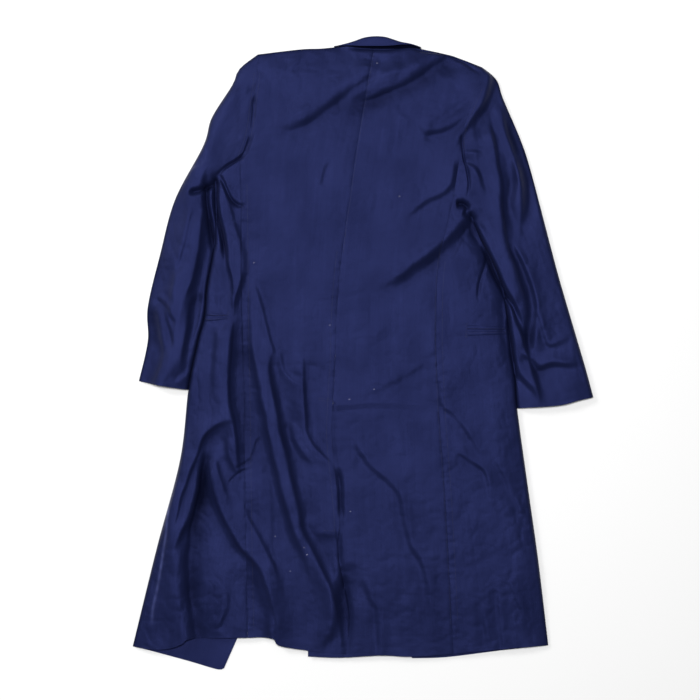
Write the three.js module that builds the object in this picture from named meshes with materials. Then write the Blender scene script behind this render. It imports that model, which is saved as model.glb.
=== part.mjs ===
// An overcoat laid out flat on its front, back upwards, with its sleeves down beside the skirt.
// Lengths are millimetres: X runs across the coat, Y up from the hem to the collar and Z up from
// the surface that it lies on. The origin is the middle of the foot of the coat's bounding box.
import * as THREE from 'three';

// Driving dimensions
const CLOTH = 1.6;            // wall of every panel
const SEAM = 0.3;             // gap between panels that are sewn edge to edge
const SIDE_GAP = 0.5;         // how far a folded edge stays inside the line drawn for it
const LOFT = 9.5;             // height of the back over the surface, where no fold crosses it
const END_LOFT = 7.4;         // the same at the hem and the neck, where the coat lies flattest
const LEAST_LOFT = 5.4;       // lowest that a trough brings the back, clear of the fronts below
const MIDDLE = 4;             // height of the outermost line of a folded edge
const ROUNDING = 7;           // how far in from a folded edge the cloth is rounded
const UNDERLAP_LOFT = 4.4;    // height of the vent's underlap where the flap covers it
const LIP_WALL = 1.2;         // wall of a pocket's lip

// Lines on the coat, left and right as it lies. A row is x, y and the grid steps to the next row.
const LEFT = {
  sleeveOuter: [
    [-189, 535, 1], [-222, 509, 1], [-235, 480, 2], [-272, 421, 1], [-287, 371, 2], [-338, 274, 3],
    [-365, 175, 2], [-387, 81, 2], [-387, 20, 2], [-403, -52, 0],
  ],
  shoulder: [[-189, 535], [-113, 544], [-41, 547]],
  neck: [[-41, 547, 1], [-13, 543, 2], [20, 542, 0]],
  armhole: [[-189, 535], [-191, 493], [-198, 439], [-205, 391], [-220, 346]],
  underarm: [[-265, 310], [-243, 332], [-220, 346]],
  sideSeam: [
    [-220, 346, 3], [-218, 230, 4], [-217, 72, 1], [-216, 54, 3], [-214, -68, 5], [-211, -280, 6],
    [-207, -513, 0],
  ],
  fold: [
    [-265, 310, 3], [-265, 211, 3], [-282, 112, 1], [-284, 72, 1], [-285, 54, 1], [-297, 18, 2],
    [-314, -68, 3], [-329, -194, 4], [-371, -353, 4], [-414, -529, 0],
  ],
  cuff: [[-403, -52], [-360, -61], [-314, -68]],
  frontHem: [[-414, -529], [-383, -534], [-350, -533], [-325, -524], [-306, -515], [-207, -513]],
  flapHem: [[-414, -529], [-365, -542], [-310, -557], [-262, -571], [-250, -569]],
  frontNeck: [[-41, 547, 1], [-26, 498, 1], [16, 468, 0]],
  frontEdge: [[16, 468], [9, 364], [-20, 148], [-81, -122], [-167, -374], [-250, -569]],
  backHem: [[-207, -513], [-164, -514], [-150, -527], [-99, -536], [-31, -542]],
};
const RIGHT = {
  sleeveOuter: [
    [214, 512, 1], [240, 489, 1], [252, 455, 2], [283, 382, 2], [302, 324, 3], [338, 187, 2],
    [355, 124, 2], [385, 22, 1], [400, -29, 2], [414, -81, 0],
  ],
  shoulder: [[214, 512], [157, 533], [88, 548]],
  neck: [[88, 548, 1], [52, 542, 2], [20, 542, 0]],
  armhole: [[214, 512], [209, 475], [193, 436], [178, 392], [176, 364]],
  underarm: [[193, 247], [188, 290], [184, 333], [176, 364]],
  sideSeam: [
    [176, 364, 2], [158, 259, 2], [136, 160, 2], [131, 52, 1], [131, 27, 4], [136, -100, 5],
    [149, -290, 6], [162, -542, 0],
  ],
  fold: [
    [193, 247, 1], [209, 209, 3], [247, 126, 2], [261, 52, 1], [264, 27, 2], [273, -40, 2],
    [277, -101, 3], [296, -240, 4], [315, -375, 4], [333, -527, 0],
  ],
  cuff: [[414, -81], [387, -87], [350, -96], [277, -101]],
  frontHem: [[333, -527], [247, -534], [162, -542]],
  flapHem: [[333, -527], [247, -537], [150, -549], [88, -551]],
  frontNeck: [[88, 548, 1], [74, 498, 1], [29, 468, 0]],
  frontEdge: [[29, 468], [34, 364], [45, 148], [59, -122], [74, -374], [88, -551]],
  backHem: [[162, -542], [88, -547], [31, -545], [-41, -549], [-99, -547]],
};
const CENTRE_SEAM = [[20, 542], [11, 499], [-13, 355], [-38, 175], [-47, 76], [-50, -14], [-54, -86]];
const VENT_FLAP = [[-54, -86], [-56, -158], [-43, -293], [-44, -365], [-26, -468], [-31, -542]];
const VENT_UNDERLAP = [[-54, -96, 1], [-96, -108, 4], [-97, -300, 5], [-99, -547, 0]];
const COLLAR = [              // the band along the back of the neck, from left to right
  { x: -36, neck: 541, fall: 550, roll: 554 },
  { x: -26, neck: 540, fall: 550, roll: 558 },
  { x: -12, neck: 539, fall: 550, roll: 563 },
  { x: 6, neck: 538, fall: 550, roll: 567 },
  { x: 24, neck: 538, fall: 550, roll: 568 },
  { x: 42, neck: 538, fall: 550, roll: 567 },
  { x: 58, neck: 538, fall: 550, roll: 563 },
  { x: 72, neck: 539, fall: 551, roll: 558 },
  { x: 82, neck: 540, fall: 551, roll: 555 },
];

// The largest folds: the line that each follows, how far it rises (or sinks) and its half width.
const FOLDS = [
  { lift: 5, half: 20, path: [[-254, 274], [-234, 157], [-238, 58], [-252, -86]] },
  { lift: -3, half: 14, path: [[-227, 121], [-236, 13], [-234, -104]] },
  { lift: 5.5, half: 22, path: [[-180, 22], [-157, -158], [-125, -300], [-104, -392]] },
  { lift: -3, half: 18, path: [[-196, -32], [-180, -167], [-152, -290], [-130, -400]] },
  { lift: 5, half: 22, path: [[-272, -194], [-254, -275], [-194, -347], [-153, -464]] },
  { lift: -4, half: 16, path: [[-254, -130], [-302, -194], [-324, -293]] },
  { lift: -4, half: 18, path: [[-311, -347], [-317, -446], [-311, -509]] },
  { lift: -4, half: 18, path: [[142, 526], [85, 495], [13, 459], [-20, 440]] },
  { lift: -3, half: 20, path: [[40, 493], [-50, 454], [-146, 391]] },
  { lift: -4, half: 24, path: [[193, 238], [139, 193], [58, 130], [-32, 85]] },
  { lift: -3, half: 16, path: [[162, 324], [133, 279], [88, 247]] },
  { lift: -3.5, half: 20, path: [[-4, -150], [27, -216], [67, -272], [90, -362], [117, -446]] },
  { lift: -3, half: 18, path: [[139, -59], [170, -110], [207, -176]] },
  { lift: -3, half: 18, path: [[238, -203], [292, -302]] },
  { lift: 4, half: 18, path: [[218, 490], [203, 441], [180, 409]] },
  { lift: -4, half: 18, path: [[236, 495], [222, 432], [196, 380]] },
  { lift: -4, half: 20, path: [[256, 202], [292, 121], [306, 67], [292, -5]] },
  { lift: -4, half: 20, path: [[-288, 211], [-308, 121], [-322, 79], [-324, -5]] },
];

const smooth = (rows) => new THREE.SplineCurve(rows.map(([x, y]) => new THREE.Vector2(x, y)));

// Points along a line, with the steps that its rows give.
function trace(rows) {
  const curve = smooth(rows);
  const spans = rows.length - 1;
  const points = [];
  for (let span = 0; span < spans; span += 1) {
    const steps = rows[span][2];
    for (let step = 0; step < steps; step += 1) points.push(curve.getPoint((span + step / steps) / spans));
  }
  points.push(curve.getPoint(1));
  return points;
}

const STRIP = [0.3, 0.57, 1];  // grid lines between the rounding of a side fold and the side seam
const SLEEVE_STEPS = 3;        // grid steps between the roundings of a sleeve's two folds
const even = (count) => Array.from({ length: count }, (_, i) => (i + 1) / count);

// Points along a line that starts at a folded edge: close together where the cloth is rounded,
// then at the given parts of what is left.
function fromFold(rows, parts) {
  const curve = smooth(rows);
  const length = curve.getLength();
  const rounded = [0, 0.3 * ROUNDING, ROUNDING];
  const plain = parts.map((part) => ROUNDING + part * (length - ROUNDING));
  return [...rounded, ...plain].map((distance) => curve.getPointAt(Math.min(distance / length, 1)));
}

// The same for a line that ends at a folded edge too.
function betweenFolds(rows) {
  const curve = smooth(rows);
  const length = curve.getLength();
  const plain = even(SLEEVE_STEPS).map((part) => ROUNDING + part * (length - 2 * ROUNDING));
  const distances = [0, 0.3 * ROUNDING, ROUNDING, ...plain, length - 0.3 * ROUNDING, length];
  return distances.map((distance) => curve.getPointAt(distance / length));
}

const join = (...lines) => lines.reduce((all, line) => [...all, ...line.slice(1)]);
const reverse = (line) => [...line].reverse();

// How far along a line each of its points is, from 0 to 1.
function progress(line) {
  const lengths = [0];
  for (let i = 1; i < line.length; i += 1) lengths.push(lengths[i - 1] + line[i].distanceTo(line[i - 1]));
  return lengths.map((length) => length / lengths.at(-1));
}

// The grid of points that fills the space between four lines, each run from its first corner.
function fill(top, bottom, left, right) {
  const across = progress(top).map((u, i) => (u + progress(bottom)[i]) / 2);
  const down = progress(left).map((v, j) => (v + progress(right)[j]) / 2);
  return down.map((v, j) => across.map((u, i) => {
    const point = top[i].clone().multiplyScalar(1 - v).addScaledVector(bottom[i], v);
    point.addScaledVector(left[j], 1 - u).addScaledVector(right[j], u);
    point.addScaledVector(left[0], (u - 1) * (1 - v)).addScaledVector(right[0], -u * (1 - v));
    return point.addScaledVector(left.at(-1), (u - 1) * v).addScaledVector(right.at(-1), -u * v);
  }));
}

// Draws chosen edges of a grid in towards the line of points next to them.
const EDGES = {
  top: (grid) => grid[0].map((point, i) => [point, grid[1][i]]),
  left: (grid) => grid.map((row) => [row[0], row[1]]),
  right: (grid) => grid.map((row) => [row.at(-1), row.at(-2)]),
};
function drawIn(grid, distances) {
  for (const [edge, distance] of Object.entries(distances)) {
    for (const [point, next] of EDGES[edge](grid)) {
      point.add(next.clone().sub(point).setLength(distance));
    }
  }
  return grid;
}

// The nearest point of a line to a point, as its distance, its direction and how far along it is.
function nearest(line, point) {
  let best = { distance: Infinity };
  for (let i = 1; i < line.length; i += 1) {
    const side = line[i].clone().sub(line[i - 1]);
    const part = point.clone().sub(line[i - 1]).dot(side) / side.lengthSq();
    const along = THREE.MathUtils.clamp(part, 0, 1);
    const offset = point.clone().sub(line[i - 1]).addScaledVector(side, -along);
    if (offset.length() < best.distance) {
      best = { distance: offset.length(), offset, along: (i - 1 + along) / (line.length - 1) };
    }
  }
  return best;
}

const FOLD_LINES = [LEFT, RIGHT].flatMap((side) => [side.sleeveOuter, side.shoulder, side.fold])
  .map((rows) => smooth(rows).getSpacedPoints(80));
const VENT_LINE = smooth(VENT_FLAP).getSpacedPoints(60);
for (const fold of FOLDS) fold.line = smooth(fold.path).getSpacedPoints(24);

// Height of the coat's upper face over a point.
function loft(point) {
  const { smoothstep, lerp } = THREE.MathUtils;
  const flatEnds = smoothstep(point.y, -550, -380) * (1 - smoothstep(point.y, 460, 550));
  let height = lerp(END_LOFT, LOFT, flatEnds);
  for (const { line, lift, half } of FOLDS) {
    const { distance, along } = nearest(line, point);
    const taper = smoothstep(along, 0, 0.2) * (1 - smoothstep(along, 0.8, 1));
    height += lift * taper * Math.exp(-((distance / half) ** 2));
  }
  return Math.max(height, LEAST_LOFT);
}

// Where the cloth at a point of the plan lies, at a depth below its outer face. It is rounded
// down to the middle line near a folded edge: the upper face from its loft, the under face from 0.
// A tuck of 1 puts the upper side at the height of the vent's underlap.
function place(point, isUpper, depth, tuck = 0) {
  const folds = FOLD_LINES.map((line) => nearest(line, point));
  const fold = folds.reduce((a, b) => (b.distance < a.distance ? b : a));
  const within = THREE.MathUtils.clamp((fold.distance - SIDE_GAP) / ROUNDING, 0, 1);
  const cos = 1 - within;
  const sin = Math.sqrt(1 - cos ** 2);
  const plan = point.clone().addScaledVector(fold.offset, (depth * cos) / fold.distance);
  const middle = MIDDLE + (isUpper ? SEAM / 2 : -SEAM / 2);
  const face = isUpper ? THREE.MathUtils.lerp(loft(point), UNDERLAP_LOFT, tuck) : 0;
  const inward = isUpper ? -depth : depth;
  return new THREE.Vector3(plan.x, plan.y, middle + (face - middle + inward) * sin);
}

// A closed wall: faces are quads of outer points that face out, and each outer point has its inner one.
// Its rim closes every edge that only one quad has.
function wall(faces, outer, inner) {
  const count = outer.length;
  const triangles = [];
  const edges = new Map();
  for (const [a, b, c, d] of faces) {
    triangles.push(a, b, c, a, c, d);
    triangles.push(count + a, count + c, count + b, count + a, count + d, count + c);
    for (const [from, to] of [[a, b], [b, c], [c, d], [d, a]]) {
      if (!edges.delete(`${to} ${from}`)) edges.set(`${from} ${to}`, [from, to]);
    }
  }
  for (const [from, to] of edges.values()) {
    triangles.push(from, count + from, count + to, from, count + to, to);
  }
  const geometry = new THREE.BufferGeometry();
  const positions = [...outer, ...inner].flatMap((point) => point.toArray());
  geometry.setAttribute('position', new THREE.Float32BufferAttribute(positions, 3));
  geometry.setIndex(triangles);
  geometry.computeVertexNormals();
  return geometry;
}

// The quads of a grid of indices.
function quads(grid, isTurned) {
  const faces = [];
  for (let row = 0; row < grid.length - 1; row += 1) {
    const [upper, lower] = [grid[row], grid[row + 1]];
    for (let column = 0; column < upper.length - 1; column += 1) {
      const face = [upper[column], lower[column], lower[column + 1], upper[column + 1]];
      faces.push(isTurned ? face.reverse() : face);
    }
  }
  return faces;
}

// The wall of a panel made of grids on its upper and under sides. Grids that join at a fold hold
// the same point objects there.
function panel(patches, depth = 0, thickness = CLOTH) {
  const points = new Map();
  const faces = [];
  for (const { grid, isUpper, tuck = () => 0 } of patches) {
    for (const point of grid.flat()) {
      if (!points.has(point)) points.set(point, { isUpper, tuck: tuck(point), index: points.size });
    }
    const [corner, beside] = grid[0];
    const runsRight = beside.clone().sub(corner).cross(grid[1][0].clone().sub(corner)) < 0;
    const indices = grid.map((row) => row.map((point) => points.get(point).index));
    faces.push(...quads(indices, runsRight !== isUpper));
  }
  const layer = (down) => (
    [...points].map(([point, { isUpper, tuck }]) => place(point, isUpper, down, tuck))
  );
  return wall(faces, layer(depth), layer(depth + thickness));
}

function cloth(name, geometry) {
  const material = new THREE.MeshStandardMaterial({ color: 0x282c60, roughness: 0.9, metalness: 0 });
  const mesh = new THREE.Mesh(geometry, material);
  mesh.name = name;
  return mesh;
}

// The lines of a half of the back: its top, its hem and its outer side.
const backTop = (side) => join(fromFold(side.shoulder, even(3)), trace(side.neck));
const backHem = (side) => smooth(side.backHem).getSpacedPoints(8);
const backSide = (side) => join(betweenFolds(side.armhole), trace(side.sideSeam));

// Left back: shoulder, armhole, side seam and centre seam, ending in the flap over the vent.
function leftBack() {
  const centre = join(fromFold(CENTRE_SEAM, even(16)), smooth(VENT_FLAP).getSpacedPoints(11));
  const grid = fill(backTop(LEFT), backHem(LEFT), backSide(LEFT), centre);
  drawIn(grid, { top: SIDE_GAP, left: SEAM / 2, right: SEAM / 2 });
  return cloth('back_left', panel([{ grid, isUpper: true }]));
}

// Right back: the same the other way round, ending in the underlap that the flap covers.
function rightBack() {
  const seam = fromFold(CENTRE_SEAM, even(16));
  const centre = [...seam, ...trace(VENT_UNDERLAP)];
  const grid = fill(backTop(RIGHT), backHem(RIGHT), backSide(RIGHT), centre);
  drawIn(grid, { top: SIDE_GAP, left: SEAM / 2, right: SEAM / 2 });
  const tuck = (point) => {
    const { distance, offset } = nearest(VENT_LINE, point);
    const beyond = offset.x > 0 ? distance : -distance;
    const below = THREE.MathUtils.smoothstep(-point.y, 87, 94);
    return below * (1 - THREE.MathUtils.smoothstep(beyond, 5, 35));
  };
  return cloth('back_right', panel([{ grid, isUpper: true, tuck }]));
}

// A front: the strip from the side seam to the side fold on the upper side, then the front itself
// on the under side, from its armhole and the fold to the edge that would be buttoned.
function frontStrip(side) {
  const underarm = reverse(fromFold(side.underarm, STRIP));
  const hem = reverse(fromFold(side.frontHem, STRIP));
  const strip = fill(underarm, hem, trace(side.sideSeam), trace(side.fold));
  return drawIn(strip, { top: SEAM / 2, left: SEAM / 2, right: SIDE_GAP });
}
function front(name, side, strip) {
  const armhole = join(betweenFolds(side.armhole), reverse(fromFold(side.underarm, STRIP)));
  const outer = join(armhole, trace(side.fold));
  const top = join(fromFold(side.shoulder, even(3)), trace(side.frontNeck));
  const edge = fromFold(side.frontEdge, even(outer.length - 3));
  const under = fill(top, fromFold(side.flapHem, even(5)), outer, edge);
  drawIn(under, { top: SIDE_GAP, left: SEAM / 2 });
  for (const [row, line] of strip.entries()) under[armhole.length - 1 + row][0] = line.at(-1);
  return cloth(name, panel([{ grid: strip, isUpper: true }, { grid: under, isUpper: false }]));
}

// The lip of a side pocket, on the strip of a front just behind its fold.
function pocketLip(name, strip, row) {
  const grid = [strip[row], strip[row + 1]].map((line) => line.slice(-5, -1));
  return cloth(name, panel([{ grid, isUpper: true }], -SEAM - LIP_WALL, LIP_WALL));
}

// A sleeve in one piece: from its seam on the under side near the body, out to the outer fold,
// back over the upper side and round the inner fold to the seam again.
function sleeve(name, side) {
  const outer = trace(side.sleeveOuter);
  const inner = join(reverse(fromFold(side.underarm, STRIP)), trace(side.fold)).slice(0, outer.length);
  const upper = fill(betweenFolds(side.armhole), betweenFolds(side.cuff), outer, inner);
  drawIn(upper, { top: SEAM, left: SIDE_GAP, right: SIDE_GAP });
  const seamColumn = upper[0].length - 3;
  const copy = (points) => points.map((point) => point.clone());
  const outerPart = upper.map((row) => [row[0], ...copy(row.slice(1, seamColumn + 1))]);
  const innerPart = upper.map((row) => [...copy(row.slice(seamColumn, -1)), row.at(-1)]);
  drawIn(outerPart, { right: SEAM });
  const under = [outerPart, innerPart].map((grid) => ({ grid, isUpper: false }));
  return cloth(name, panel([{ grid: upper, isUpper: true }, ...under]));
}

// The collar, a band folded along its roll: the fall above, and below it the stand, whose edge is
// sewn in just under the back's neck edge.
function collar() {
  const section = ({ x, neck, fall, roll }, depth) => {
    const turn = Math.min(3.5, (roll - fall) / 2);
    const top = 6 + turn / 2;
    return [
      [fall, top - depth],
      [roll - turn, top - depth],
      [roll - 0.3 * turn - 0.7 * depth, 0.75 * top - 0.6 * depth],
      [roll - depth, top / 2],
      [roll - 0.3 * turn - 0.7 * depth, 0.25 * top + 0.6 * depth - 0.4],
      [roll - turn, depth],
      [fall - 2, depth + 1],
      [neck, depth + END_LOFT - 2 * CLOTH - 3 * SEAM],
    ].map(([y, z]) => new THREE.Vector3(x, y, z));
  };
  const layer = (depth) => COLLAR.flatMap((station) => section(station, depth));
  const columns = section(COLLAR[0], 0).length;
  const indices = COLLAR.map((_, row) => (
    Array.from({ length: columns }, (_, column) => row * columns + column)
  ));
  return cloth('collar', wall(quads(indices, false), layer(0), layer(CLOTH)));
}

const leftStrip = frontStrip(LEFT);
const rightStrip = frontStrip(RIGHT);
const coat = new THREE.Group();
coat.add(leftBack(), rightBack(), collar());
coat.add(front('front_left', LEFT, leftStrip), front('front_right', RIGHT, rightStrip));
coat.add(pocketLip('pocket_lip_left', leftStrip, 7), pocketLip('pocket_lip_right', rightStrip, 6));
coat.add(sleeve('sleeve_left', LEFT), sleeve('sleeve_right', RIGHT));

const box = new THREE.Box3().setFromObject(coat);
coat.position.set(-(box.min.x + box.max.x) / 2, -(box.min.y + box.max.y) / 2, -box.min.z);

export default coat;
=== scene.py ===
import math

import bmesh
import bpy
import numpy as np
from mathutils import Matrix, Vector, noise


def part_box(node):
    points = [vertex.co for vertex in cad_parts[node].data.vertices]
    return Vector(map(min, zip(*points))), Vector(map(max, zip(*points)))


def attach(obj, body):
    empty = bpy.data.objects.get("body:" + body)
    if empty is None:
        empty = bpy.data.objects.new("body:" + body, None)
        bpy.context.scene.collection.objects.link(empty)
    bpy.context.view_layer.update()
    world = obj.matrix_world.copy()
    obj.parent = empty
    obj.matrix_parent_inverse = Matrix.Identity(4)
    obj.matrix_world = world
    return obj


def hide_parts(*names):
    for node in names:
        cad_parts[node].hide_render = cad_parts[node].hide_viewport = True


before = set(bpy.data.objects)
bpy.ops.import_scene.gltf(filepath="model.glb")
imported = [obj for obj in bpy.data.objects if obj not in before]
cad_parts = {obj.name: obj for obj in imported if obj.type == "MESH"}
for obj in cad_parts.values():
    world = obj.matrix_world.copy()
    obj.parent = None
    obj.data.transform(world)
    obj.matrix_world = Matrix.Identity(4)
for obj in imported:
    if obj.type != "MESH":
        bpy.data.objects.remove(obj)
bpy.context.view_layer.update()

# ---- Floor, light and camera ------------------------------------------------------------------
# The coat lies on a plain pale floor, back upwards. The main soft lamp hangs almost overhead, a
# weaker one stands off to the upper left, and the camera looks straight down.
WAY_DOWN = 3.6                  # camera above the floor
VIEW_WIDTH = 1.26               # floor that the camera sees across
VIEW_MIDDLE = (-0.0234, 0.0041)
SENSOR = 36.0


def plain_material(name, colour, roughness):
    material = bpy.data.materials.new(name)
    material.use_nodes = True
    shader = material.node_tree.nodes["Principled BSDF"]
    shader.inputs["Base Color"].default_value = (*colour, 1)
    shader.inputs["Roughness"].default_value = roughness
    return material


def add_object(name, data):
    piece = bpy.data.objects.new(name, data)
    bpy.context.scene.collection.objects.link(piece)
    return piece


floor_mesh = bpy.data.meshes.new("floor")
FLOOR_HALF = 8.0
corners = [(x * FLOOR_HALF, y * FLOOR_HALF, 0) for x, y in ((-1, -1), (1, -1), (1, 1), (-1, 1))]
floor_mesh.from_pydata(corners, [], [(0, 1, 2, 3)])
floor_mesh.materials.append(plain_material("pale floor", (0.84, 0.84, 0.84), 0.85))
floor = add_object("floor", floor_mesh)


def soft_lamp(name, position, size, power, aim=(0, 0, 0)):
    lamp = bpy.data.lights.new(name, "AREA")
    lamp.shape = "DISK"
    lamp.size = size
    lamp.energy = power
    holder = add_object(name, lamp)
    holder.location = position
    holder.rotation_euler = (Vector(aim) - Vector(position)).to_track_quat("-Z", "Y").to_euler()


soft_lamp("key lamp", (-0.35, 0.6, 4.0), 0.9, 150)
soft_lamp("side lamp", (-2.6, 1.8, 2.0), 1.2, 55)
world = bpy.data.worlds.new("studio")
world.use_nodes = True
world.node_tree.nodes["Background"].inputs["Color"].default_value = (1, 1, 1, 1)
world.node_tree.nodes["Background"].inputs["Strength"].default_value = 0.2
bpy.context.scene.world = world
bpy.context.scene.view_settings.view_transform = "Standard"

camera = bpy.data.cameras.new("camera")
camera.sensor_width = SENSOR
camera.lens = SENSOR * WAY_DOWN / VIEW_WIDTH
camera_holder = add_object("camera", camera)
camera_holder.location = (*VIEW_MIDDLE, WAY_DOWN)
bpy.context.scene.camera = camera_holder

# ---- Left half of the back --------------------------------------------------------------------
# Navy cotton, one panel from the shoulder to the hem. It is sewn to its other half down the
# centre back and to the left front down the side, and ends in the flap over the hem vent.
# Lines are drawn in millimetres from the coat's middle, left and right as it lies.
MM = 0.001                      # metres in a millimetre
CLOTH = 1.1                     # thickness of the cloth
GRID = 2.7                      # spacing of the mesh along and across a panel
SEAM_HALF = 0.05                # half the gap between panels sewn edge to edge
SEAM_DEPTH, SEAM_WIDTH = 0.5, 1.3  # how far the cloth dips into a seam, and over what width
PUCKER, PUCKER_LENGTH = 1.7, 6.5   # height and length of the puckers along a seam
PUCKER_AWAY, PUCKER_SPREAD = 4, 9  # how far from the seam they are highest, and how far they spread
# Painted shade and highlight in the cotton's colour: darker in folds and round folded edges, paler on the
# highest ridges.
PAINTED_SHADE_FROM, PAINTED_SHADE_REACH = 2.1, 10.0  # painted shade: the fold depth where it starts to darken the colour, and over what more depth
RIDGE_PAINTED_HIGHLIGHT = 0.12               # painted highlight: how much paler the colour gets on the highest ridges
RIDGE_FROM, RIDGE_REACH = 4, 5  # height of a ridge where the painted highlight starts, and over what more it grows
EDGE_PAINTED_SHADE = 0.6                # painted shade: how much deeper the colour is round a folded edge
LOFT, END_LOFT = 14.0, 8.8      # height of the upper face, and the same at the hem and the neck
HEM_RISE, NECK_FALL = (-550, -380), (460, 550)  # where along Y it rises and falls between the two
LEAST_LOFT, MOST_LOFT = 2.8, 23.5
STOP = 1.2                      # how softly the height stops at the least and the most
MIDDLE = 4.0                    # height of the outermost line of a folded edge
CRUMPLE = 0.95                  # height of the swells between small creases
ROUNDING = 7.0                  # how far in from a folded edge the cloth is rounded
DOME, DOME_REACH = 5.0, 50.0    # how far the upper side falls towards its folded edges
UNDERLAP_DROP = 2.2             # how far the underlap lies below the outside of the flap

LEFT = {
    "sleeve outer": [(-189, 535), (-222, 509), (-235, 480), (-272, 421), (-287, 371), (-338, 274),
                     (-365, 175), (-387, 81), (-387, 20), (-403, -52)],
    "shoulder": [(-189, 535), (-113, 544), (-76, 545.5), (-41, 549)],
    "neck": [(-41, 549), (-11, 548), (20, 545.8)],
    "armhole": [(-189, 535), (-191, 493), (-198, 439), (-205, 391), (-220, 346)],
    "underarm": [(-220, 346), (-243, 332), (-265, 310)],
    "side seam": [(-220, 346), (-218, 230), (-216.5, 63), (-214, -68), (-211, -280), (-207, -513)],
    "fold": [(-265, 310), (-265, 211), (-280, 118), (-285, 63), (-297, 18), (-314, -68),
             (-329, -194), (-371, -353), (-414, -529)],
    "cuff": [(-403, -52), (-360, -61), (-314, -68)],
    "front hem": [(-207, -513), (-306, -515), (-325, -524), (-350, -533), (-383, -534), (-414, -529)],
    "flap hem": [(-414, -529), (-365, -542), (-310, -557), (-262, -571), (-250, -569)],
    "front neck": [(-41, 549), (-26, 498), (16, 468)],
    "front edge": [(16, 468), (9, 364), (-20, 148), (-81, -122), (-167, -374), (-250, -569)],
    "back hem": [(-207, -513), (-164, -514), (-150, -527), (-99, -536), (-31, -542)],
}
RIGHT = {
    "sleeve outer": [(214, 512), (240, 489), (252, 455), (283, 382), (302, 324), (338, 187), (355, 124),
                     (385, 22), (400, -29), (414, -81)],
    "shoulder": [(214, 512), (157, 533), (88, 548)],
    "neck": [(88, 548), (52, 546), (20, 545.8)],
    "armhole": [(214, 512), (209, 475), (193, 436), (178, 392), (176, 364)],
    "underarm": [(176, 364), (184, 333), (188, 290), (193, 247)],
    "side seam": [(176, 364), (158, 259), (136, 160), (131, 40), (136, -100), (149, -290), (162, -542)],
    "fold": [(193, 247), (209, 209), (247, 126), (262.5, 40), (273, -40), (277, -101),
             (296, -240), (315, -375), (333, -527)],
    "cuff": [(414, -81), (387, -87), (350, -96), (277, -101)],
    "front hem": [(162, -542), (247, -534), (333, -527)],
    "flap hem": [(333, -527), (247, -537), (150, -549), (88, -551)],
    "front neck": [(88, 548), (74, 498), (29, 468)],
    "front edge": [(29, 468), (34, 364), (45, 148), (59, -122), (74, -374), (88, -551)],
    "back hem": [(162, -542), (88, -547), (31, -545), (-41, -549), (-99, -547)],
}
CENTRE_SEAM = [(20, 545.8), (11, 499), (-13, 355), (-38, 175), (-47, 76), (-50, -14), (-54, -86)]
VENT_FLAP = [(-54, -86), (-56, -158), (-43, -293), (-44, -365), (-26, -468), (-31, -542)]
VENT_UNDERLAP = [(-96, -108), (-97, -300), (-99, -547)]

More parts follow.
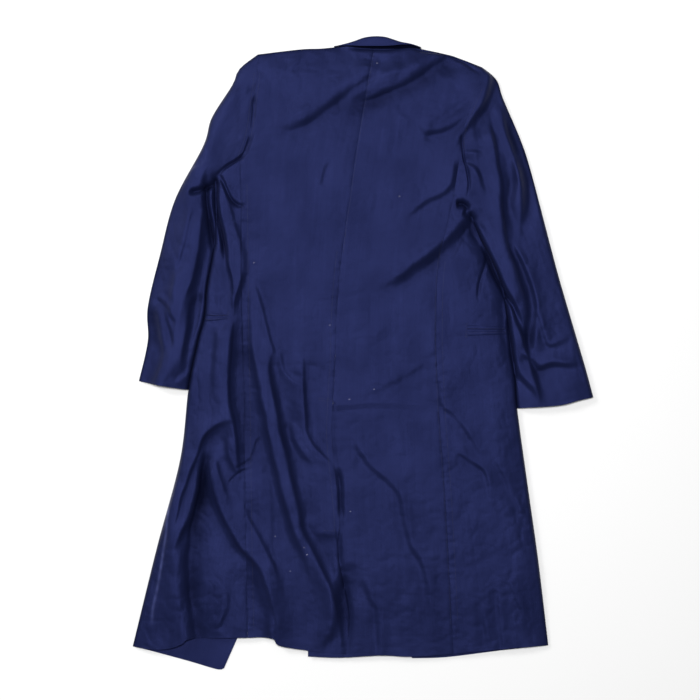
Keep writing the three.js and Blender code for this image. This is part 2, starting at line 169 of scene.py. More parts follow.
# The sides of the coat's folds, which cross from panel to panel. Each row gives how much higher
# the cloth is to the left of the way that the line runs, where less than 0 is lower; how wide the
# slope is on its lower and on its upper half; how far off the cloth settles; and its middle line.
CREASES = [
    # the strap of cloth from the left armpit down, and the valley along the side seam
    (10, 5, 2, 12, [(-266, 330), (-264, 285), (-261, 245), (-253, 212), (-247, 180), (-240, 152),
                    (-236, 128), (-236, 60)]),
    (-9, 10, 6, 26, [(-246, 320), (-230, 240), (-218, 203), (-212, 165), (-214, 130), (-222, 80),
                     (-230, 20)]),
    (-5, 4, 2.5, 10, [(-212, 146), (-220, 118), (-227, 96), (-230, 60)]),
    (-17, 11, 5, 28, [(-230, 66), (-233, 15), (-237, -32), (-236, -80), (-230, -120), (-224, -156),
                      (-221, -200), (-220, -262)]),
    (4, 5, 5, 14, [(-262, 50), (-268, -10), (-271, -60), (-276, -100)]),
    # the long ridge down the left back: its left side, then its right
    (5, 5, 4, 12, [(-206, 120), (-204, 70), (-203, 10), (-196, -40)]),
    (13, 9, 4, 24, [(-206, 30), (-196, -28), (-190, -62), (-186, -88), (-179, -114), (-172, -150),
                    (-162, -195), (-153, -235), (-144, -265), (-135, -300), (-120, -340), (-106, -376),
                    (-96, -406), (-84, -440)]),
    (-5, 4, 3, 10, [(-196, 136), (-183, 92), (-172, 52), (-164, 20), (-150, -30)]),
    (-13, 9, 3.5, 26, [(-150, 24), (-158, 4), (-165, -20), (-164, -46), (-158, -76), (-153, -102),
                       (-147, -132), (-140, -164), (-132, -198), (-123, -238), (-112, -280),
                       (-106, -316), (-91, -350), (-73, -384), (-59, -413), (-50, -440), (-38, -500),
                       (-20, -640)]),
    (-4, 5, 2, 12, [(-148, 6), (-142, -28), (-132, -42), (-116, -53), (-96, -60)]),
    (-8, 9, 2.5, 20, [(-108, 0), (-104, -38), (-103, -80), (-102, -120), (-98, -146), (-87, -166),
                      (-72, -181), (-54, -200), (-36, -236)]),
    (5, 6, 3, 16, [(-132, -124), (-122, -164), (-108, -188), (-88, -206)]),
    (4, 7, 7, 18, [(-106, -300), (-84, -330), (-52, -330), (-36, -320)]),
    (-12, 9, 8, 24, [(-32, -370), (-42, -410), (-46, -446), (-48, -484), (-60, -512), (-86, -546)]),
    # left skirt
    (-14, 12, 4, 28, [(-222, -124), (-250, -129), (-268, -139), (-282, -154), (-291, -174),
                      (-300, -196), (-309, -218), (-318, -243), (-326, -270), (-336, -310),
                      (-350, -380)]),
    (-13, 6, 4, 15, [(-284, -170), (-290, -206), (-294, -234), (-298, -262), (-303, -286), (-313, -306),
                     (-326, -330), (-336, -356), (-348, -390)]),
    (-22, 9, 15, 32, [(-292, -200), (-310, -290), (-318, -346), (-321, -400), (-318, -446),
                      (-311, -490), (-304, -560), (-300, -860)]),
    (12, 9, 3.5, 24, [(-280, -178), (-277, -218), (-270, -254), (-260, -284), (-248, -309),
                      (-235, -331), (-222, -352), (-204, -370), (-188, -388), (-178, -414),
                      (-168, -446), (-158, -480), (-150, -540)]),
    (12, 14, 9, 30, [(-210, -364), (-196, -410), (-184, -446), (-174, -484), (-168, -640)]),
    (-6, 7, 4, 18, [(-262, -188), (-253, -222), (-244, -252), (-232, -276)]),
    (-7, 9, 4, 22, [(-218, -262), (-203, -296), (-187, -324), (-172, -352), (-159, -380), (-150, -410),
                    (-142, -450)]),
    (4, 5, 3, 14, [(-246, -150), (-244, -180), (-234, -206), (-218, -224)]),
    (4, 4, 4, 12, [(-262, -500), (-246, -470), (-242, -440), (-250, -410)]),
    # top of the back
    (-14, 7, 11, 28, [(40, 508), (10, 494), (-12, 481), (-36, 464), (-60, 445), (-85, 425), (-110, 410),
                      (-140, 397), (-178, 382)]),
    (-17, 6, 13, 30, [(174, 540), (148, 530), (125, 517), (105, 504), (85, 490), (60, 477), (36, 467),
                      (10, 457), (-20, 449), (-50, 441)]),
    (-9, 8, 8, 20, [(80, 506), (44, 490), (12, 472), (-16, 456), (-50, 440)]),
    (9, 4, 8, 20, [(104, 386), (122, 393), (142, 398), (160, 406), (180, 422), (206, 446)]),
    (4, 4, 7, 16, [(112, 406), (145, 428), (170, 446), (198, 464)]),
    (-4, 12, 12, 30, [(92, 420), (60, 380), (30, 340)]),
    (3, 3, 3, 9, [(-130, 506), (-120, 517), (-108, 532)]),
    (3, 3, 3, 9, [(-76, 296), (-66, 334), (-56, 352)]),
    # from the right armhole down across the back
    (-7, 5, 4, 14, [(168, 350), (162, 308), (152, 290), (138, 280), (120, 273), (104, 262), (90, 249),
                    (66, 230)]),
    (-16, 10, 8, 26, [(214, 262), (194, 242), (180, 227), (165, 210), (149, 194), (127, 176),
                      (105, 159), (80, 140), (50, 121), (20, 103)]),
    (3, 3, 3, 9, [(192, 228), (180, 204), (168, 178), (156, 158)]),
    (-2, 5, 4, 14, [(124, -18), (85, -38), (40, -63), (-20, -86)]),
    # right skirt
    (5, 5, 4, 18, [(-26, -140), (9, -202), (58, -248), (70, -290), (84, -348), (103, -378), (117, -446),
                   (124, -540)]),
    (4, 5, 4, 14, [(138, -40), (140, -95), (166, -119), (222, -200)]),
    (4, 4, 3, 12, [(164, -178), (202, -203), (220, -221), (230, -276)]),
    (3, 4, 4, 12, [(230, -186), (256, -230), (270, -266), (304, -330)]),
    (4, 5, 4, 14, [(-2, -400), (13, -446), (25, -473), (31, -600)]),
    (3, 4, 4, 12, [(210, -450), (229, -560)]),
    (3, 4, 4, 12, [(240, -420), (252, -560)]),
    (3, 4, 4, 12, [(256, -410), (292, -480)]),
    # left sleeve
    (-14, 9, 4, 24, [(-284, 262), (-288, 214), (-291, 180), (-297, 148), (-308, 118), (-318, 94),
                     (-325, 60), (-326, 10)]),
    (-11, 6, 4, 18, [(-300, 112), (-309, 76), (-311, 46), (-317, 22), (-322, -6), (-326, -44)]),
    (6, 5, 5, 14, [(-280, 170), (-288, 110), (-292, 70), (-303, 30), (-314, -20)]),
    (16, 26, 24, 60, [(-300, 420), (-336, 250), (-352, 160), (-366, 60), (-384, -60), (-410, -220)]),
    (-5, 4, 3, 12, [(-304, 262), (-316, 206), (-327, 168), (-340, 130)]),
    (12, 8, 6, 20, [(-374, 90), (-367, 34), (-361, 4), (-365, -20), (-376, -52), (-396, -130)]),
    (5, 3, 3, 10, [(-372, 100), (-350, 80), (-341, 62), (-326, 48)]),
    (5, 4, 3, 12, [(-356, 84), (-350, 52), (-341, 22), (-336, -10)]),
    (-4, 4, 4, 12, [(-338, -54), (-302, -24)]),
    (9, 9, 6, 24, [(-340, 160), (-341, 104), (-338, 50), (-345, 8), (-358, -30), (-374, -90)]),
    (-7, 8, 8, 24, [(-216, 470), (-244, 420), (-262, 370), (-270, 330)]),
    (5, 3, 3, 9, [(-296, 378), (-284, 352), (-268, 350)]),
    (-4, 3, 3, 9, [(-316, 326), (-296, 334), (-276, 344)]),
    # right sleeve
    (-16, 9, 3, 24, [(236, 548), (231, 500), (228, 474), (222, 452), (212, 434), (199, 416), (187, 400),
                     (172, 376), (160, 350)]),
    (-10, 16, 8, 34, [(204, 440), (203, 396), (207, 350), (217, 300), (230, 240)]),
    (-4, 3, 3, 8, [(176, 361), (222, 358)]),
    (-5, 3, 3, 9, [(178, 340), (198, 334), (210, 316), (216, 296)]),
    (-17, 18, 5, 34, [(222, 450), (240, 370), (246, 330), (251, 290), (252, 258), (255, 230),
                      (259, 205), (268, 176), (279, 146), (288, 119), (294, 95), (297, 68), (292, 36),
                      (284, -30)]),
    (9, 6, 5, 16, [(268, 364), (272, 328), (273, 300), (268, 264), (270, 226)]),
    (-14, 9, 5, 22, [(246, 450), (256, 414), (265, 384), (274, 350), (283, 324), (289, 294), (289, 256),
                     (284, 216), (284, 180)]),
    (12, 6, 3, 18, [(264, 206), (277, 178), (289, 152), (298, 127), (305, 103), (309, 80), (308, 52),
                    (304, 20), (300, -10), (304, -50)]),
    (18, 7, 2, 15, [(194, 246), (206, 217), (215, 198), (225, 176), (240, 145), (255, 115), (269, 91),
                    (279, 70), (285, 50), (288, 20)]),
    (-13, 7, 3, 18, [(264, 110), (273, 68), (285, 34), (294, 6), (303, -24), (312, -52), (326, -110)]),
    (12, 5, 3, 14, [(252, 110), (260, 66), (262, 40), (265, 16), (270, -12), (277, -36), (290, -54),
                    (304, -70), (322, -94)]),
    (9, 6, 4, 16, [(280, -2), (303, -16), (316, -30), (338, -23), (372, -25), (400, -22)]),
    (5, 4, 3, 12, [(312, 76), (319, 50), (326, 24), (334, 9), (348, 14), (372, 28)]),
]

# Narrow hollows, mostly about the armpits: how deep and how wide each is, and where it runs.
HOLLOWS = [
    (12, 4.5, [(-316, 286), (-300, 289), (-288, 292), (-272, 300), (-256, 312)]),
    (12, 5, [(-282, 320), (-281, 280), (-278, 246), (-272, 210), (-268, 170)]),
    (12, 4.5, [(-264, 326), (-264, 280), (-261, 244), (-252, 206), (-242, 150)]),
    (7, 3, [(-262, 324), (-250, 302), (-238, 276), (-222, 263), (-206, 262)]),
    (6, 2.5, [(-196, 400), (-206, 372), (-214, 353), (-229, 341), (-246, 330), (-268, 312)]),
    (4, 3, [(-203, 500), (-196, 440), (-199, 390)]),
    (12, 5, [(166, 264), (174, 265), (182, 264), (188, 258), (192, 252)]),
    (7, 3.5, [(-30, 546), (-10, 545.5), (20, 544), (50, 545), (75, 547), (96, 546)]),
    (5, 2, [(84, 547), (100, 542), (121, 538.5), (139, 535.5), (157, 530), (175, 523), (193, 512),
            (216, 496)]),
    (4, 2, [(176, 400), (177, 380), (179, 352), (184, 334), (188, 318), (190, 296), (186, 270)]),
    (8, 6, [(180, 254), (192, 243), (204, 232)]),
    (10, 3.4, [(212, 200), (221, 174), (231, 150), (243, 124), (256, 100), (268, 82), (277, 62),
               (280, 50)]),
    (9, 3, [(262, 74), (263, 40), (267, 2), (272, -34), (276, -60)]),
    (3.5, 3, [(224, 196), (221, 168), (215, 142), (209, 116), (204, 84)]),
    (8, 3.5, [(-46, -204), (-43, -230), (-39, -270), (-37, -306)]),
    (3, 1.6, [(-46, -300), (-44, -350), (-40, -390), (-32, -440), (-28, -520)]),
    (3, 1.6, [(-186, -150), (-192, -164), (-196, -182), (-204, -200)]),
    (3, 1.6, [(-230, -208), (-212, -200), (-196, -192)]),
    (3, 1.6, [(-242, -238), (-228, -220), (-206, -208)]),
]

# Worn lines: how strong, how wide and where.
WORN = [
    (0.55, 2.2, [(-338, -170), (-343, -210), (-347, -250), (-350, -290), (-354, -330), (-359, -362),
                 (-364, -395), (-370, -428), (-377, -460), (-380, -496)]),
    (0.3, 3.0, [(-322, -110), (-333, -160), (-345, -215), (-356, -270), (-364, -310)]),
    (0.16, 3.0, [(-318, 322), (-300, 332), (-280, 342)]),
]

# Seams: how far the turned-in edge under the cloth reaches, to the left of the way that the line
# runs or, where it is less than 0, to the right of it.
SEAMS = [
    (-9, CENTRE_SEAM), (11, LEFT["side seam"]), (11, RIGHT["side seam"]),
]


def smooth_line(rows, count=None, spacing=None):
    """Points spaced evenly along a smooth line through the rows."""
    rows = np.array(rows, float)
    ends = np.vstack([rows[:1], rows, rows[-1:]])
    t = np.linspace(0, 1, 25)[:-1, None]
    spans = []
    for before, start, end, after in zip(ends, ends[1:], ends[2:], ends[3:]):
        leave, arrive = (end - before) / 2, (after - start) / 2
        cubic = (2 * start - 2 * end + leave + arrive) * t**3
        square = (3 * end - 3 * start - 2 * leave - arrive) * t**2
        spans.append(cubic + square + leave * t + start)
    dense = np.vstack([*spans, rows[-1:]])
    done = np.append(0, np.cumsum(np.linalg.norm(np.diff(dense, axis=0), axis=1)))
    if count is None:
        count = max(1, round(done[-1] / spacing))
    return at_distances(dense, done, np.linspace(0, done[-1], count + 1))


def at_distances(dense, done, distances):
    return np.stack([np.interp(distances, done, dense[:, axis]) for axis in (0, 1)], axis=1)


def crowd(line, at_start=False, at_end=False):
    """The same line with its points drawn close together where it meets a folded edge."""
    done = np.append(0, np.cumsum(np.linalg.norm(np.diff(line, axis=0), axis=1)))
    close = ROUNDING * (1 - np.cos(np.linspace(0, math.pi / 2, 6)[1:]))
    close *= min(1, 0.4 * done[-1] / close[-1])
    inner = np.array([0.0]) if not at_start else np.append(0, close)
    outer = np.array([done[-1]]) if not at_end else np.append(done[-1] - close[::-1], done[-1])
    steps = len(line) + 1 - len(inner) - len(outer)
    plain = np.linspace(inner[-1], outer[0], steps + 1)[1:-1]
    return at_distances(line, done, np.concatenate([inner, plain, outer]))


def crowd_rows(grid, at_start=False, at_end=False):
    return np.stack([crowd(row, at_start, at_end) for row in grid])


def crowd_top(grid):
    return crowd_rows(grid.transpose(1, 0, 2), at_start=True).transpose(1, 0, 2)


def join(*lines):
    return np.vstack([lines[0], *[line[1:] for line in lines[1:]]])


def fill(top, bottom, left, right):
    """The grid of points that fills the space between four lines."""
    def progress(line):
        done = np.append(0, np.cumsum(np.linalg.norm(np.diff(line, axis=0), axis=1)))
        return done / done[-1] if done[-1] > 0 else np.linspace(0, 1, len(line))
    u = ((progress(top) + progress(bottom)) / 2)[None, :, None]
    v = ((progress(left) + progress(right)) / 2)[:, None, None]
    between_ends = (1 - v) * top[None] + v * bottom[None]
    between_sides = (1 - u) * left[:, None] + u * right[:, None]
    first = (1 - u) * left[0] + u * right[0]
    last = (1 - u) * left[-1] + u * right[-1]
    return between_ends + between_sides - (1 - v) * first - v * last


def draw_in(grid, top=0.0, left=0.0, right=0.0):
    """Draws the edges of a grid in by a distance each."""
    def towards(edge, beside, distance):
        step = beside - edge
        length = np.maximum(np.linalg.norm(step, axis=-1, keepdims=True), 1e-9)
        return edge + step * np.minimum(distance / length, 0.5)
    grid[0] = towards(grid[0], grid[1], top)
    grid[:, 0] = towards(grid[:, 0], grid[:, 1], left)
    grid[:, -1] = towards(grid[:, -1], grid[:, -2], right)
    return grid


def beside_seam(grid, left=False, right=False):
    """Draws the second line of points up to each seam, so that the seam's groove is narrow."""
    if left:
        grid[:, 1] = 0.55 * grid[:, 0] + 0.45 * grid[:, 1]
    if right:
        grid[:, -2] = 0.55 * grid[:, -1] + 0.45 * grid[:, -2]
    return grid


def from_line(points, path):
    """Each point's distance from a path, which side it is on and how far along."""
    best = np.full(len(points), np.inf)
    along = np.zeros(len(points))
    side = np.ones(len(points))
    for index, (start, end) in enumerate(zip(path, path[1:])):
        edge = end - start
        reach = points - start
        part = np.clip(reach @ edge / (edge @ edge), 0, 1)
        away = reach - part[:, None] * edge
        distance = np.hypot(away[:, 0], away[:, 1])
        closer = distance < best
        best[closer] = distance[closer]
        along[closer] = (index + part[closer]) / (len(path) - 1)
        side[closer] = np.sign(edge[0] * away[closer, 1] - edge[1] * away[closer, 0])
    return best, side, along


def ease(value, start, end):
    t = np.clip((value - start) / (end - start), 0, 1)
    return t * t * (3 - 2 * t)


def rough(points, size, seed):
    """Smooth unevenness between -1 and 1, the same on every run."""
    return np.array([noise.noise((x / size, y / size, seed)) for x, y in points])


def crease(points, size, seed):
    """Thin creases between rounded swells, in patches: 0 along a crease and up to 1 away from it."""
    bends = [rough(points, 1.4 * size, seed + turn) for turn in (20, 30)]
    bent = points + 0.5 * size * np.stack(bends, axis=1)
    patch = np.clip(0.5 + 1.2 * rough(points, 2.6 * size, seed + 10), 0, 1)
    return patch * np.minimum(np.abs(rough(bent, size, seed)) * 3.2, 1) ** 0.6


def level_loft(points):
    """Height of the upper face before its folds, lower towards the hem and the neck."""
    inside = ease(points[:, 1], *HEM_RISE) * (1 - ease(points[:, 1], *NECK_FALL))
    return END_LOFT + (LOFT - END_LOFT) * inside


def close_to(points, path, margin):
    """The numbers of the points in the box round a path."""
    inside = (points > path.min(0) - margin) & (points < path.max(0) + margin)
    return np.flatnonzero(np.all(inside, axis=1))


def loft(points):
    """Height of the coat's upper face over each point, in millimetres."""
    height = level_loft(points)
    wander = points + 2.0 * np.stack([rough(points, 38, 1.5), rough(points, 38, 7.5)], axis=1)
    for rise, lower, upper, reach, path in CREASES:
        path = smooth_line(path, spacing=9)
        near = close_to(points, path, 90)
        distance, side, along = from_line(wander[near], path)
        taper = ease(along, 0, 0.14) * (1 - ease(along, 0.62, 1))
        strength = 0.9 + 0.35 * rough(points[near], 45, rise)
        slope = np.where(side * rise < 0, lower, upper)
        level = np.tanh(distance / slope) * np.exp(-((distance / reach) ** 2))
        height[near] += 0.5 * rise * strength * taper * side * level
    for depth, width, path in HOLLOWS:
        path = smooth_line(path, spacing=6)
        near = close_to(points, path, 40)
        distance, _, along = from_line(wander[near], path)
        taper = ease(along, 0, 0.2) * (1 - ease(along, 0.7, 1))
        height[near] -= depth * taper * np.exp(-((distance / width) ** 2))
    height += 1.0 * rough(points, 70, 3.1) + 0.6 * rough(points, 26, 4.2) + 0.3 * rough(points, 9, 5.3)
    small = 0.7 * crease(points, 23, 6.1) + 0.35 * crease(points, 12, 9.4)
    height += CRUMPLE * (crease(points, 52, 2.3) + small)
    for reach, path in SEAMS:
        path = smooth_line(path, spacing=12)
        length = 12 * (len(path) - 1)
        near = close_to(points, path, 40)
        distance, side, along = from_line(points[near], path)
        across = distance * side * np.sign(reach)
        gather = 0.5 + 0.5 * rough(np.stack([along * length, 0 * along], axis=1), 60, reach)
        groove = -SEAM_DEPTH * (0.6 + gather) * np.exp(-((distance / SEAM_WIDTH) ** 2))
        ripple = rough(np.stack([along * length, across * 0.25], axis=1), PUCKER_LENGTH, 11.0)
        beside_it = np.exp(-((across - PUCKER_AWAY) / PUCKER_SPREAD) ** 2)
        height[near] += groove + PUCKER * gather * ripple * beside_it
    return MOST_LOFT - STOP * np.logaddexp(0, (MOST_LOFT - height) / STOP)


FOLDED = ("sleeve outer", "shoulder", "fold")
FOLD_LINES = [smooth_line(side[name], count=90) for side in (LEFT, RIGHT) for name in FOLDED]


def place(points, is_upper, tuck=0.0, lift=0.0):
    """Where the cloth's outer face lies over points of the plan, rounded down at folded edges.

    The fourth column is painted shade, 0 to 1, in folds and round folded edges; below 0 it is a painted
    highlight on ridges."""
    distance = np.min([from_line(points, line)[0] for line in FOLD_LINES], axis=0)
    within = np.clip(distance / ROUNDING, 0, 1)
    rise = np.sqrt(1 - (1 - within) ** 2)
    dome = DOME * (1 - (1 - np.clip(distance / DOME_REACH, 0, 1)) ** 2)
    if not is_upper:
        return np.column_stack([points, MIDDLE - MIDDLE * rise, np.zeros(len(points))])
    folded = loft(points)
    depth = level_loft(points) - folded
    # Painted shade deep in folds and round folded edges, and a painted highlight on the highest ridges.
    raised = np.clip((-depth - RIDGE_FROM) / RIDGE_REACH, 0, 1)
    sunk = np.clip((depth - PAINTED_SHADE_FROM) / PAINTED_SHADE_REACH, 0, 1) - RIDGE_PAINTED_HIGHLIGHT * raised
    sunk += EDGE_PAINTED_SHADE * (1 - within) ** 2
    face = folded + dome - DOME - UNDERLAP_DROP * tuck
    face = LEAST_LOFT + STOP * np.logaddexp(0, (face - LEAST_LOFT) / STOP) + lift
    return np.column_stack([points, MIDDLE + (face - MIDDLE) * rise, np.clip(sunk, -RIDGE_PAINTED_HIGHLIGHT, 1)])


TOP_LINE = 568                  # Y of the collar's top among these lines
COAT_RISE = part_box("collar")[1][1] / MM - TOP_LINE


def measured(grid):
    """The cloth's own measure over a grid of points: across it and down it."""
    across = np.cumsum(np.linalg.norm(np.diff(grid, axis=1, prepend=grid[:, :1]), axis=2), axis=1)
    across -= across.mean(axis=1, keepdims=True)
    down = np.cumsum(np.linalg.norm(np.diff(grid, axis=0, prepend=grid[:1]), axis=2), axis=0)
    return np.stack([across, -np.broadcast_to(down.mean(axis=1, keepdims=True), across.shape)], axis=-1)


def worn(points):
    """How far the colour is rubbed off along the worn lines, from 0 to 1."""
    wear = np.zeros(len(points))
    for strength, width, path in WORN:
        distance, _, along = from_line(points[:, :2], smooth_line(path, spacing=12))
        patchy = 0.65 + 0.6 * rough(points[:, :2], 14, 17.0)
        ends = ease(along, 0, 0.1) * (1 - ease(along, 0.9, 1))
        wear += strength * patchy * ends * np.exp(-((distance / width) ** 2))
    return np.clip(np.where(points[:, 2] > MIDDLE, wear, 0), 0, 1)


def cloth_mesh(name, grids):
    """A mesh of grids of points that face outwards where they run right and down, with its measure."""
    points = np.vstack([grid.reshape(-1, 4) for grid in grids])
    vertices = points[:, :3] * MM + (0, COAT_RISE * MM, 0)
    measures = np.vstack([measured(grid[..., :3]).reshape(-1, 2) for grid in grids]) * MM
    faces, start = [], 0
    for grid in grids:
        rows, columns = grid.shape[:2]
        index = start + np.arange(rows * columns).reshape(rows, columns)
        quads = np.stack([index[:-1, :-1], index[1:, :-1], index[1:, 1:], index[:-1, 1:]], axis=-1)
        faces.append(quads.reshape(-1, 4))
        start += rows * columns
    faces = np.vstack(faces)
    mesh = bpy.data.meshes.new(name)
    mesh.from_pydata(vertices.tolist(), [], faces.tolist())
    # The fourth column is painted shade and highlight, read by the cotton's colour.
    mesh.attributes.new("sunk", "FLOAT", "POINT").data.foreach_set("value", points[:, 3])
    mesh.attributes.new("wear", "FLOAT", "POINT").data.foreach_set("value", worn(points))
    uv = mesh.uv_layers.new(name="cloth")
    uv.data.foreach_set("uv", measures[faces.reshape(-1)].reshape(-1))
    work = bmesh.new()
    work.from_mesh(mesh)
    bmesh.ops.remove_doubles(work, verts=work.verts, dist=0.01 * MM)
    for edge in work.edges:
        edge.smooth = not edge.is_boundary
    work.to_mesh(mesh)
    work.free()
    mesh.shade_smooth()
    return mesh


def panel_mesh(name, patches):
    """A panel's mesh from grids of its plan, on the upper and under sides of the coat."""
    grids = []
    for plan, is_upper, tuck in patches:
        grid = place(plan.reshape(-1, 2), is_upper, tuck.reshape(-1)).reshape(*plan.shape[:2], 4)
        across, down = plan[-1, 1] - plan[-1, 0], plan[-1, 0] - plan[-2, 0]
        runs_right = across[0] * down[1] - across[1] * down[0] < 0
        grids.append(grid if runs_right == is_upper else grid[:, ::-1])
    return cloth_mesh(name, grids)


def new_group(name, inputs, outputs):
    """An empty shader group with number or vector inputs and outputs."""
    group = bpy.data.node_groups.new(name, "ShaderNodeTree")
    for label, kind, value in inputs:
        socket = group.interface.new_socket(label, in_out="INPUT", socket_type=kind)
        if value is not None:
            socket.default_value = value
    for label, kind in outputs:
        group.interface.new_socket(label, in_out="OUTPUT", socket_type=kind)
    return group, group.nodes.new("NodeGroupInput").outputs, group.nodes.new("NodeGroupOutput").inputs


def add_node(tree, kind, links=(), values=(), **settings):
    """A node with its settings, the links into it and the values of its other sockets."""
    made = tree.nodes.new(kind)
    for setting, value in settings.items():
        setattr(made, setting, value)
    for label, source in links:
        tree.links.new(source, made.inputs[label])
    for label, value in values:
        made.inputs[label].default_value = value
    return made


def math_node(tree, operation, *values):
    fixed = [(socket, value) for socket, value in enumerate(values) if isinstance(value, (int, float))]
    linked = [(socket, value) for socket, value in enumerate(values) if (socket, value) not in fixed]
    return add_node(tree, "ShaderNodeMath", linked, fixed, operation=operation).outputs[0]


def shade_between(tree, factor, low, low_colour, high, high_colour):
    """A colour ramp from one colour at its low place to another at its high one."""
    ramp = add_node(tree, "ShaderNodeValToRGB", [("Fac", factor)])
    for element, position, colour in zip(ramp.color_ramp.elements, (low, high), (low_colour, high_colour)):
        element.position = position
        element.color = (*colour, 1)
    return ramp.outputs["Color"]


def bump_on(tree, shader, height, strength, distance):
    sizes = [("Strength", strength), ("Distance", distance)]
    bump = add_node(tree, "ShaderNodeBump", [("Height", height)], sizes)
    tree.links.new(bump.outputs["Normal"], shader.inputs["Normal"])


def streaks(tree, vector, across, along, detail):
    """Noise drawn out along the warp: across and along are its number of streaks in a metre."""
    scale = [("Scale", (across, along, 1))]
    mapping = add_node(tree, "ShaderNodeMapping", [("Vector", vector)], scale)
    texture = add_node(
        tree, "ShaderNodeTexNoise", [("Vector", mapping.outputs["Vector"])],
        [("Scale", 1), ("Detail", detail)], noise_dimensions="2D",
    )
    return texture.outputs["Fac"]


def weave_group():
    """Plain weave: the height of its threads, and the slubs and mottling of its yarn."""
    group, given, result = new_group(
        "plain weave",
        [("Cloth", "NodeSocketVector", None), ("Threads", "NodeSocketFloat", 1400.0)],
        [("Height", "NodeSocketFloat"), ("Slub", "NodeSocketFloat"), ("Mottle", "NodeSocketFloat")],
    )
    axes = add_node(group, "ShaderNodeSeparateXYZ", [(0, given["Cloth"])])
    turns = math_node(group, "MULTIPLY", given["Threads"], math.pi)
    warp = math_node(group, "SINE", math_node(group, "MULTIPLY", axes.outputs["X"], turns))
    weft = math_node(group, "SINE", math_node(group, "MULTIPLY", axes.outputs["Y"], turns))
    threads = math_node(group, "MULTIPLY", warp, weft)
    fine = streaks(group, given["Cloth"], 520, 9, 3)
    broad = streaks(group, given["Cloth"], 95, 5, 3)
    weft_slub = streaks(group, given["Cloth"], 10, 430, 2)
    slub = math_node(group, "MULTIPLY_ADD", fine, 0.5, math_node(group, "MULTIPLY", broad, 0.3))
    slub = math_node(group, "MULTIPLY_ADD", weft_slub, 0.2, slub)
    group.links.new(math_node(group, "MULTIPLY_ADD", threads, 0.25, slub), result["Height"])
    group.links.new(slub, result["Slub"])
    group.links.new(streaks(group, given["Cloth"], 16, 11, 5), result["Mottle"])
    return group


WEAVE = weave_group()
DEEP_NAVY = (0.0042, 0.0062, 0.026)
BRIGHT_NAVY = (0.0072, 0.0102, 0.04)
WORN_NAVY = (0.075, 0.09, 0.24)
GLOSS_TINT = (0.2, 0.25, 0.9)
SHEEN_TINT = (0.35, 0.4, 1.0)


def cloth_material(name):
    """Navy cotton: slubs and mottling, paler where worn, threads in its relief; painted shade and highlight
    in its colour.
    """
    material = bpy.data.materials.new(name)
    material.use_nodes = True
    tree = material.node_tree
    shader = tree.nodes["Principled BSDF"]
    cloth = add_node(tree, "ShaderNodeUVMap", uv_map="cloth").outputs["UV"]
    weave = add_node(tree, "ShaderNodeGroup", node_tree=WEAVE)
    tree.links.new(cloth, weave.inputs["Cloth"])
    slub = weave.outputs["Slub"]
    some_slub = math_node(tree, "MULTIPLY", slub, 0.4)
    shade = math_node(tree, "MULTIPLY_ADD", weave.outputs["Mottle"], 0.6, some_slub)
    navy = shade_between(tree, shade, 0.29, DEEP_NAVY, 0.74, BRIGHT_NAVY)
    wear = add_node(tree, "ShaderNodeAttribute", attribute_name="wear").outputs["Fac"]
    # Painted shade darkens the colour and gloss in folds, round edges and on the collar's stand; below 0,
    # painted highlight on ridges.
    sunk = add_node(tree, "ShaderNodeAttribute", attribute_name="sunk").outputs["Fac"]
    unshaded_share = math_node(tree, "MULTIPLY_ADD", sunk, -0.8, 1.0)
    shaded_navy = add_node(tree, "ShaderNodeVectorMath", [(0, navy), ("Scale", unshaded_share)], operation="SCALE")
    faded = add_node(tree, "ShaderNodeMix", data_type="RGBA")
    faded.inputs["B"].default_value = (*WORN_NAVY, 1)
    tree.links.new(shaded_navy.outputs["Vector"], faded.inputs["A"])
    tree.links.new(wear, faded.inputs["Factor"])
    tree.links.new(faded.outputs["Result"], shader.inputs["Base Color"])
    roughness = math_node(tree, "MULTIPLY_ADD", slub, -0.1, 0.49)
    tree.links.new(roughness, shader.inputs["Roughness"])
    bump_on(tree, shader, weave.outputs["Height"], 0.45, 0.0006)
    gloss = math_node(tree, "MULTIPLY", unshaded_share, math_node(tree, "MULTIPLY_ADD", shade, 0.36, 0.175))
    tree.links.new(gloss, shader.inputs["Specular IOR Level"])
    shader.inputs["Specular Tint"].default_value = (*GLOSS_TINT, 1)
    shader.inputs["Sheen Weight"].default_value = 0.025
    shader.inputs["Sheen Roughness"].default_value = 0.4
    shader.inputs["Sheen Tint"].default_value = (*SHEEN_TINT, 1)
    return material


COTTON = cloth_material("navy cotton")


